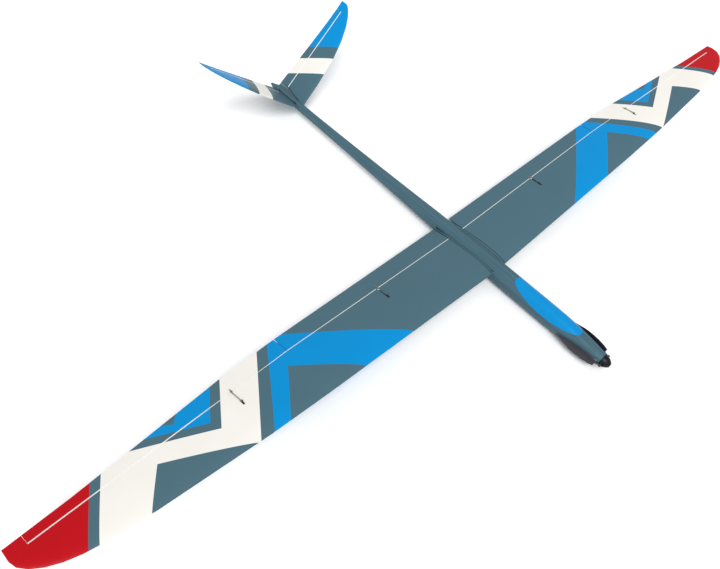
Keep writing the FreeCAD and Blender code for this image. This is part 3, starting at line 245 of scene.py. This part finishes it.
def tailSkin(name, hinged=False):
    # the tail's skins come from the same kind of mould and have the same film
    material, tree, surface = newMaterial(name, **paint["gloss"])
    parts = addNode(tree, "ShaderNodeSeparateXYZ", {0: objectPlace(tree)})
    across = addNode(tree, "ShaderNodeMath", {0: parts.outputs["X"]}, operation="ABSOLUTE").outputs[0]
    folded = addNode(tree, "ShaderNodeCombineXYZ",
                     {"X": across, "Y": parts.outputs["Y"], "Z": parts.outputs["Z"]})
    lean = math.radians(tailPlan["angle"])
    out = addNode(tree, "ShaderNodeVectorMath",
                  {0: folded.outputs[0], 1: (mmPerMetre * math.cos(lean), 0, mmPerMetre * math.sin(lean))},
                  operation="DOT_PRODUCT").outputs["Value"]
    out = addNode(tree, "ShaderNodeMath", {0: out, 1: -tailPlan["base"] * math.sin(lean)}).outputs[0]
    aft = addNode(tree, "ShaderNodeMath", {0: parts.outputs["Y"], 1: mmPerMetre},
                  operation="MULTIPLY").outputs[0]
    place = addNode(tree, "ShaderNodeCombineXYZ", {"X": out, "Y": aft, "Z": 1.0}).outputs[0]
    white = crispMask(tree, borderSum(tree, place, tailPlan["whiteStart"], (150, 650)),
                      borderSum(tree, place, tailPlan["whiteEnd"], (120, 650)))
    colour = blendColour(tree, hexColour(paint["greyBlue"]), hexColour(paint["creamWhite"]), white)
    blue = crispMask(tree, borderSum(tree, place, tailPlan["blueStart"], (350, 680)))
    colour = blendColour(tree, colour, hexColour(paint["brightBlue"]), blue)
    if hinged:
        colour = hingeStrip(tree, place, colour, tailPlan, "hinge")
    paintFilm(tree, surface, colour)
    return material


dress(tailSkin("mouldSprayedTailSkin"), *bothHands("tail_panel"))
dress(tailSkin("mouldSprayedRuddervatorSkin", True), *bothHands("ruddervator"))
print("tail painted")

# the crease tint is painted shade for the root seams and the saddle crease
fuselage = {"seamX": (32.0, 33.2), "creaseX": (24.5, 26.0), "saddleY": (-318, -84), "creaseShadeTint": "24363F",
            "streakPitch": 0.006, "streakLength": 0.02, "streakTint": "2F4955", "streakShare": 0.35}


def fuselageShell():
    # moulded shell with the same grey film; rubbing down leaves faint lengthwise streaks on the boom
    material, tree, surface = newMaterial("mouldedGreyShell", **paint["gloss"])
    place = objectPlace(tree)
    stretch = addNode(tree, "ShaderNodeMapping", {"Vector": place, "Scale": (1, fuselage["streakLength"], 1)})
    streak = addNode(tree, "ShaderNodeTexNoise",
                     {"Vector": stretch.outputs[0], "Scale": 1 / fuselage["streakPitch"], "Detail": 2.0})
    depth = addNode(tree, "ShaderNodeMapRange",
                    {"Value": streak.outputs[0], "From Min": 0.35, "From Max": 0.7})
    grey = hexColour(paint["greyBlue"])
    colour = blendColour(tree, grey, hexColour(fuselage["streakTint"]), depth.outputs[0])
    faint = blendColour(tree, grey, colour, fuselage["streakShare"])
    # painted shade: dark lines at each wing root seam and at the crease where the saddle leaves the pod,
    # drawn 1.2 mm wide to show
    parts = addNode(tree, "ShaderNodeSeparateXYZ", {0: place})
    across = addNode(tree, "ShaderNodeMath", {0: parts.outputs["X"]}, operation="ABSOLUTE").outputs[0]
    across = addNode(tree, "ShaderNodeMath", {0: across, 1: mmPerMetre}, operation="MULTIPLY").outputs[0]
    aft = addNode(tree, "ShaderNodeMath", {0: parts.outputs["Y"], 1: mmPerMetre},
                  operation="MULTIPLY").outputs[0]
    low, high = fuselage["saddleY"]
    since = addNode(tree, "ShaderNodeMath", {0: aft, 1: low}, operation="SUBTRACT").outputs[0]
    until = addNode(tree, "ShaderNodeMath", {0: high, 1: aft}, operation="SUBTRACT").outputs[0]
    for inner, outer in (fuselage["seamX"], fuselage["creaseX"]):
        start = addNode(tree, "ShaderNodeMath", {0: across, 1: inner}, operation="SUBTRACT").outputs[0]
        stop = addNode(tree, "ShaderNodeMath", {0: outer, 1: across}, operation="SUBTRACT").outputs[0]
        mask = crispMask(tree, start, stop, since, until)
        faint = blendColour(tree, faint, hexColour(fuselage["creaseShadeTint"]), mask)
    paintFilm(tree, surface, faint)
    return material


def canopyShell():
    # a thin glass-fibre canopy, sprayed and polished glossier than the rest
    gloss = {**paint["gloss"], "Roughness": 0.3, "Coat_Weight": 0.12}
    material, tree, surface = newMaterial("polishedBlueCanopy", **gloss)
    shade = addNode(tree, "ShaderNodeRGB")
    shade.outputs[0].default_value = hexColour(paint["brightBlue"])
    paintFilm(tree, surface, shade.outputs[0])
    return material


dress(fuselageShell(), "fuselage_shell")
dress(canopyShell(), "canopy")


def speckled(name, base, dark, pitch, bump=0.00002, share=0.5, **shader):
    # a surface whose tone and height wander together at one pitch, in metres
    material, tree, surface = newMaterial(name, **shader)
    noise = addNode(tree, "ShaderNodeTexNoise",
                    {"Vector": objectPlace(tree), "Scale": 1 / pitch, "Detail": 3.0})
    colour = blendColour(tree, hexColour(base), hexColour(dark), noise.outputs[0])
    tree.links.new(blendColour(tree, hexColour(base), colour, share), surface.inputs["Base Color"])
    relief = addNode(tree, "ShaderNodeBump", {"Height": noise.outputs[0], "Distance": bump, "Strength": 0.4})
    tree.links.new(relief.outputs[0], surface.inputs["Normal"])
    return material


def woven(name, light, dark, pitch, **shader):
    # cloth under resin: two crossed waves stand in for the over-and-under of its tows, drawn 3 mm wide
    # to show; a wave at scale 1 repeats every 0.314 m
    material, tree, surface = newMaterial(name, **shader)
    place = objectPlace(tree)
    waves = [addNode(tree, "ShaderNodeTexWave", {"Vector": place, "Scale": 0.314 / pitch, "Distortion": 0.4},
                     bands_direction=way).outputs[0] for way in ("Y", "Z")]
    cross = addNode(tree, "ShaderNodeMath", {0: waves[0], 1: waves[1]}, operation="GREATER_THAN").outputs[0]
    cloth = blendColour(tree, hexColour(dark), hexColour(light), cross)
    tree.links.new(cloth, surface.inputs["Base Color"])
    relief = addNode(tree, "ShaderNodeBump", {"Height": cross, "Distance": 0.00003, "Strength": 0.3})
    tree.links.new(relief.outputs[0], surface.inputs["Normal"])
    return material


# carbon cloth pressed in a mould: near black with a violet cast and a clear, shallow shine
dress(woven("pressedCarbonCloth", "2B2833", "15141B", 0.003, Roughness=0.35, IOR=1.5, Coat_Weight=0.3,
            Coat_Roughness=0.1), *bothHands("prop_blade"))
# pultruded carbon rod: straight fibres, so a plain satin black
dress(speckled("pultrudedCarbonRod", "1B1B1E", "303034", 0.0012, Roughness=0.45, IOR=1.5),
      *bothHands("tail_pushrod"), "wing_joiner")
# anodised and turned aluminium: soft dark shine
dress(speckled("blackAnodisedAluminium", "24222A", "34323C", 0.0008, Metallic=0.85, Roughness=0.42),
      "spinner_cone", "spinner_backplate", "prop_yoke")
# the can is turned and anodised too, a little brighter where the light catches it
dress(speckled("motorCanAnodised", "1E1E22", "3A3A40", 0.0015, Metallic=0.9, Roughness=0.36), "motor_can")
# drawn steel wire and hardened pins
dress(speckled("drawnSteelWire", "9A9C9E", "6E7072", 0.0006, Metallic=1.0, Roughness=0.32),
      "motor_screws", "motor_shaft", "blade_pins", "spinner_screw", "tail_joiner_rods", "locating_pins",
      *bothHands("flap_rod", "aileron_rod"))
# glass-epoxy board: greenish ivory with a faint cloth grain
dress(speckled("glassEpoxyBoard", "8D8F6E", "6B6E4E", 0.0009, Roughness=0.5, IOR=1.52),
      "motor_bulkhead", "joiner_sleeve", *bothHands("flap_horn", "aileron_horn", "ruddervator_horn"))
# moulded nylon: dull black with a fine grain
dress(speckled("blackServoNylon", "191A1C", "2A2B2E", 0.0007, Roughness=0.5, IOR=1.53),
      *bothHands("tail_servo", "flap_servo", "aileron_servo"))
dress(speckled("blackArmNylon", "141416", "26262A", 0.0006, Roughness=0.4, IOR=1.53),
      *bothHands("tail_servo_arm", "flap_arm", "aileron_arm"))
# plated magnets: warm, nearly mirror-bright
dress(speckled("nickelPlatedMagnet", "C9C6BE", "A6A39B", 0.0008, Metallic=1.0, Roughness=0.22),
      "canopy_magnets")
print("hardware dressed")


ply = {"grainScale": 700.0, "grainLength": 0.08, "grainDepth": 0.00005}


def birchPly():
    # birch plywood, rotary cut: long pale grain along the pod
    material, tree, surface = newMaterial("birchPlywood", Roughness=0.6, IOR=1.5)
    stretch = addNode(tree, "ShaderNodeMapping",
                      {"Vector": objectPlace(tree), "Scale": (1, ply["grainLength"], 1)})
    grain = addNode(tree, "ShaderNodeTexNoise",
                    {"Vector": stretch.outputs[0], "Scale": ply["grainScale"], "Detail": 4.0})
    colour = blendColour(tree, hexColour("D9BE92"), hexColour("A9854F"), grain.outputs[0])
    tree.links.new(colour, surface.inputs["Base Color"])
    relief = addNode(tree, "ShaderNodeBump",
                     {"Height": grain.outputs[0], "Distance": ply["grainDepth"], "Strength": 0.4})
    tree.links.new(relief.outputs[0], surface.inputs["Normal"])
    return material


dress(birchPly(), "equipment_tray")
# heat-shrink film over soft cells: taut and slightly wrinkled
dress(speckled("batteryShrinkFilm", "2A4C86", "1C3563", 0.009, bump=0.0003, Roughness=0.3, IOR=1.5),
      "battery")
dress(speckled("blackShrinkSleeve", "1A1A1C", "2C2C30", 0.004, bump=0.0001, Roughness=0.42, IOR=1.5),
      "speed_controller", "receiver")


def meshPiece(name, shape, material):
    mesh = bpy.data.meshes.new(name)
    shape.to_mesh(mesh)
    shape.free()
    mesh.materials.append(material)
    piece = bpy.data.objects.new(name, mesh)
    bpy.context.scene.collection.objects.link(piece)
    return piece


smoothing = {"weld": 0.00001, "angle": 32}


def smoothSkin(name):
    # the same surface with its seams welded, so that curved skins shade as one
    source = nodes[name]
    shape = bmesh.new()
    shape.from_mesh(source.data)
    bmesh.ops.remove_doubles(shape, verts=shape.verts, dist=smoothing["weld"])
    limit = math.radians(smoothing["angle"])
    for face in shape.faces:
        face.smooth = True
    for edge in shape.edges:
        edge.smooth = edge.calc_face_angle(math.pi) < limit
    piece = meshPiece(f"{name}_skin", shape, source.data.materials[0])
    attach(piece, bodyOf(name))
    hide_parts(name)


for name in ["fuselage_shell", "canopy", "spinner_cone", "motor_can",
             *bothHands("wing_panel", "flap", "aileron", "tail_panel", "ruddervator", "prop_blade")]:
    smoothSkin(name)
print("skins smoothed")


def repeated(name, points, build, values, material, body):
    # instances what build makes at points, each a place and a facing, and rides the result on one body
    carrier = bpy.data.meshes.new(f"{name}Points")
    carrier.from_pydata([place for place, _ in points], [], [])
    facing = carrier.attributes.new("facing", "FLOAT_VECTOR", "POINT")
    for index, (_, way) in enumerate(points):
        facing.data[index].vector = way
    holder = bpy.data.objects.new(name, carrier)
    bpy.context.scene.collection.objects.link(holder)
    tree = bpy.data.node_groups.new(f"{name}Repeat", "GeometryNodeTree")
    tree.interface.new_socket("Geometry", in_out="INPUT", socket_type="NodeSocketGeometry")
    sockets = {key: tree.interface.new_socket(key, in_out="INPUT", socket_type="NodeSocketFloat")
               for key in values}
    tree.interface.new_socket("Geometry", in_out="OUTPUT", socket_type="NodeSocketGeometry")
    given = tree.nodes.new("NodeGroupInput")
    unit = build(tree, {key: given.outputs[key] for key in values})
    way = addNode(tree, "GeometryNodeInputNamedAttribute", {"Name": "facing"}, data_type="FLOAT_VECTOR")
    turn = addNode(tree, "FunctionNodeAlignRotationToVector", {"Vector": way.outputs[0]}, axis="Z")
    laidOut = addNode(tree, "GeometryNodeInstanceOnPoints",
                      {"Points": given.outputs["Geometry"], "Instance": unit, "Rotation": turn.outputs[0]})
    real = addNode(tree, "GeometryNodeRealizeInstances", {0: laidOut.outputs[0]})
    dressed = addNode(tree, "GeometryNodeSetMaterial", {"Geometry": real.outputs[0], "Material": material})
    end = tree.nodes.new("NodeGroupOutput")
    tree.links.new(dressed.outputs[0], end.inputs["Geometry"])
    modifier = holder.modifiers.new("repeat", "NODES")
    modifier.node_group = tree
    for key, value in values.items():
        modifier[sockets[key].identifier] = value
    bpy.context.view_layer.update()
    seen = holder.evaluated_get(bpy.context.evaluated_depsgraph_get())
    mesh = bpy.data.meshes.new_from_object(seen)
    holder.modifiers.remove(modifier)
    holder.data = mesh
    mesh.materials.clear()
    mesh.materials.append(material)
    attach(holder, body)
    return holder


screwSides = {"head": 24, "socket": 6}


def screwHead(tree, values):
    # a low domed head with a hexagon socket sunk in its top
    head = addNode(tree, "GeometryNodeMeshCylinder",
                   {"Vertices": screwSides["head"], "Radius": values["Head Radius"],
                    "Depth": values["Head Height"]})
    socket = addNode(tree, "GeometryNodeMeshCylinder",
                     {"Vertices": screwSides["socket"], "Radius": values["Socket Radius"],
                      "Depth": values["Head Height"]})
    half = addNode(tree, "ShaderNodeMath", {0: values["Head Height"], 1: 0.5}, operation="MULTIPLY")
    up = addNode(tree, "ShaderNodeCombineXYZ", {"Z": half.outputs[0]}).outputs[0]
    sunk = addNode(tree, "GeometryNodeTransform", {"Geometry": socket.outputs["Mesh"], "Translation": up})
    cut = addNode(tree, "GeometryNodeMeshBoolean",
                  {"Mesh 1": head.outputs["Mesh"], "Mesh 2": sunk.outputs[0]},
                  operation="DIFFERENCE")
    return cut.outputs["Mesh"]


coverFace = {"inset": 0.0028, "sink": 0.0001, "steepest": -0.8}


def coverScrews():
    # four screws near the corners of each servo cover, square to its lower face
    points = []
    for name in bothHands("flap_servo_cover", "aileron_servo_cover"):
        mesh = nodes[name].data
        down = Vector((0, 0, 0))
        for polygon in mesh.polygons:
            if polygon.normal.z < coverFace["steepest"]:
                down += polygon.normal * polygon.area
        down.normalize()
        across = Vector((1, 0, 0)) - down * down.x
        across.normalize()
        aft = across.cross(down)
        corners = [vertex.co for vertex in mesh.vertices]
        lowest = max(corner.dot(down) for corner in corners)
        inset = coverFace["inset"]
        spans = [(min(c.dot(way) for c in corners) + inset, max(c.dot(way) for c in corners) - inset)
                 for way in (across, aft)]
        for x in spans[0]:
            for y in spans[1]:
                points.append((across * x + aft * y + down * (lowest - coverFace["sink"]), down))
    return points


screws = {"Head Radius": 0.0015, "Head Height": 0.0007, "Socket Radius": 0.0007}
screwSteel = speckled("zincPlatedScrew", "B4B5B6", "8C8D8F", 0.0004, Metallic=1.0, Roughness=0.3)
repeated("cover_screws", coverScrews(), screwHead, screws, screwSteel, bodyOf("flap_servo_cover_left"))
print("cover screws in")


def pinPeg(tree, values):
    peg = addNode(tree, "GeometryNodeMeshCube")
    size = addNode(tree, "ShaderNodeCombineXYZ",
                   {"X": values["Pin Width"], "Y": values["Pin Width"], "Z": values["Pin Length"]})
    tree.links.new(size.outputs[0], peg.inputs["Size"])
    return peg.outputs["Mesh"]


def receiverPins(columns, rows, pitch, lift):
    # the receiver's block of servo pins on its rear face
    low, high = [Vector(corner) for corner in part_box("receiver")]
    middle = (low + high) / 2
    points = []
    for column in range(columns):
        for row in range(rows):
            place = Vector((middle.x + (column - (columns - 1) / 2) * pitch, high.y + lift,
                            middle.z + (row - (rows - 1) / 2) * pitch))
            points.append((place, Vector((0, 1, 0))))
    return points


pinBlock = {"columns": 7, "rows": 3, "pitch": 0.00254, "lift": 0.0024}
pins = {"Pin Width": 0.00064, "Pin Length": 0.005}
goldPin = speckled("goldPlatedPin", "D9B45A", "B8913C", 0.0005, Metallic=1.0, Roughness=0.25)
repeated("receiver_pins", receiverPins(**pinBlock), pinPeg, pins, goldPin, bodyOf("receiver"))
print("receiver pins in")

floor = {"size": 9.0, "drop": 0.0005, "bounce": 0.9, "seen": 1.12}


def layFloor():
    material, tree, surface = newMaterial("paleMattFloor", Roughness=1.0, Specular_IOR_Level=0.0)
    camera = addNode(tree, "ShaderNodeLightPath").outputs["Is Camera Ray"]
    tone = addNode(tree, "ShaderNodeMapRange",
                   {"Value": camera, "To Min": floor["bounce"], "To Max": floor["seen"]})
    tree.links.new(tone.outputs[0], surface.inputs["Base Color"])
    shape = bmesh.new()
    bmesh.ops.create_grid(shape, x_segments=1, y_segments=1, size=floor["size"])
    bmesh.ops.translate(shape, verts=shape.verts, vec=(0, 0, -floor["drop"]))
    meshPiece("paleFloor", shape, material)


layFloor()

light = {"sunStrength": 1.75, "sunAngle": 30, "sunTurn": (22, -24, 0), "skyStrength": 0.62}


def setLight():
    world = bpy.data.worlds.new("paleStudio")
    bpy.context.scene.world = world
    world.use_nodes = True
    tree = world.node_tree
    sky = tree.nodes["Background"]
    seen = addNode(tree, "ShaderNodeLightPath").outputs["Is Camera Ray"]
    strength = addNode(tree, "ShaderNodeMapRange",
                       {"Value": seen, "To Min": light["skyStrength"], "To Max": 1.0})
    tree.links.new(strength.outputs[0], sky.inputs["Strength"])
    sky.inputs["Color"].default_value = (1, 1, 1, 1)
    sun = bpy.data.lights.new("softKey", "SUN")
    sun.energy = light["sunStrength"]
    sun.angle = math.radians(light["sunAngle"])
    lamp = bpy.data.objects.new("softKey", sun)
    lamp.rotation_euler = [math.radians(turn) for turn in light["sunTurn"]]
    bpy.context.scene.collection.objects.link(lamp)


setLight()

camera = {"place": (-1.36594, -0.80868, 1.68018), "aim": (-0.34190, -0.07647, 0.0), "roll": -13.029,
          "lens": 35.466, "sensor": 36.0}


def setCamera():
    data = bpy.data.cameras.new("standingEye")
    data.lens = camera["lens"]
    data.sensor_width = camera["sensor"]
    data.clip_start = 0.05
    holder = bpy.data.objects.new("standingEye", data)
    bpy.context.scene.collection.objects.link(holder)
    ahead = (Vector(camera["aim"]) - Vector(camera["place"])).normalized()
    right = ahead.cross(Vector((0, 0, 1))).normalized()
    turn = Matrix.Rotation(math.radians(camera["roll"]), 3, ahead)
    right, up = turn @ right, turn @ right.cross(ahead)
    facing = Matrix((right, up, -ahead)).transposed().to_4x4()
    holder.matrix_world = Matrix.Translation(camera["place"]) @ facing
    bpy.context.scene.camera = holder


setCamera()
bpy.context.scene.view_settings.view_transform = "Standard"
